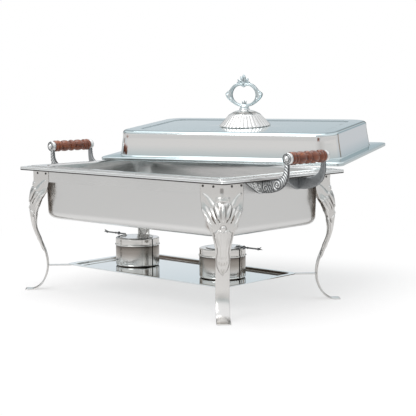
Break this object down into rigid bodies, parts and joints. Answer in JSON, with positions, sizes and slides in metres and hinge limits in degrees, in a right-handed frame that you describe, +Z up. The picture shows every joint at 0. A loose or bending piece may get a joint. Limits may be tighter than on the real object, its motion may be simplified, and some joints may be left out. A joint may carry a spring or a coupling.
{
  "type": "fuel-heated buffet server",
  "caption": "Full-size oblong buffet server on four cabriole legs with a riveted skirt, wood-gripped end handles, stacked pans, a domed lid set back and two fuel burners on a tray.",
  "frame": {"origin": "middle of the stand's footprint on the table", "axes": "+X to the right along the stand's length, +Y to the back, +Z up"},
  "size_m": [0.6864, 0.6821, 0.4396],
  "materials": {
    "satin_steel": "satin polished stainless steel",
    "mirror_steel": "bright polished stainless steel",
    "old_silver": "cast metal plated in antique silver",
    "grip_wood": "turned hardwood, red-brown gloss lacquer",
    "screw_steel": "plain zinc-bright steel"
  },
  "bodies": {
    "stand": {"rim_frame": "satin_steel", "skirt": "satin_steel", "leg_front_left": "satin_steel", "leg_front_right": "satin_steel", "leg_back_left": "satin_steel", "leg_back_right": "satin_steel", "leg_rivets": "screw_steel", "fuel_tray": "mirror_steel", "tray_arms": "satin_steel", "bracket_left_front": "old_silver", "bracket_left_back": "old_silver", "bracket_right_front": "old_silver", "bracket_right_back": "old_silver", "grip_left": "grip_wood", "grip_right": "grip_wood", "grip_rod_left": "screw_steel", "grip_rod_right": "screw_steel", "grip_nuts": "old_silver", "bracket_screws": "screw_steel"},
    "water_pan": {"water_pan": "satin_steel"},
    "food_pan": {"food_pan": "satin_steel"},
    "lid": {"lid_shell": "mirror_steel", "knob_base": "mirror_steel", "knob_ring": "old_silver", "knob_screw": "screw_steel", "knob_washer": "screw_steel"},
    "burner_left": {"fuel_cup_left": "mirror_steel"},
    "burner_right": {"fuel_cup_right": "mirror_steel"},
    "cover_left": {"fuel_cover_left": "mirror_steel", "damper_rivet_left": "screw_steel"},
    "cover_right": {"fuel_cover_right": "mirror_steel", "damper_rivet_right": "screw_steel"},
    "damper_left": {"damper_plate_left": "mirror_steel", "damper_handle_left": "old_silver"},
    "damper_right": {"damper_plate_right": "mirror_steel", "damper_handle_right": "old_silver"}
  },
  "joints": [
    {"name": "water_pan_lift", "type": "slide", "parent": "stand", "child": "water_pan", "axis": [0, 0, 1], "range_m": [0, 0.13]},
    {"name": "food_pan_lift", "type": "slide", "parent": "water_pan", "child": "food_pan", "axis": [0, 0, 1], "range_m": [0, 0.1]},
    {"name": "lid_lift", "type": "slide", "parent": "food_pan", "child": "lid", "axis": [0, 0, 1], "range_m": [0, 0.15]},
    {"name": "burner_left_slide", "type": "slide", "parent": "stand", "child": "burner_left", "axis": [0, -0.9903, 0.1392], "range_m": [0, 0.26]},
    {"name": "burner_right_slide", "type": "slide", "parent": "stand", "child": "burner_right", "axis": [0, -0.9903, 0.1392], "range_m": [0, 0.26]},
    {"name": "cover_left_lift", "type": "slide", "parent": "burner_left", "child": "cover_left", "axis": [0, 0, 1], "range_m": [0, 0.02]},
    {"name": "cover_right_lift", "type": "slide", "parent": "burner_right", "child": "cover_right", "axis": [0, 0, 1], "range_m": [0, 0.02]},
    {"name": "damper_left_swing", "type": "hinge", "parent": "cover_left", "child": "damper_left", "pos_m": [-0.1335, -0.0305, 0.106], "axis": [0, 0, 1], "range_deg": [0, 90]},
    {"name": "damper_right_swing", "type": "hinge", "parent": "cover_right", "child": "damper_right", "pos_m": [0.1335, 0.0305, 0.106], "axis": [0, 0, 1], "range_deg": [0, 90]}
  ]
}
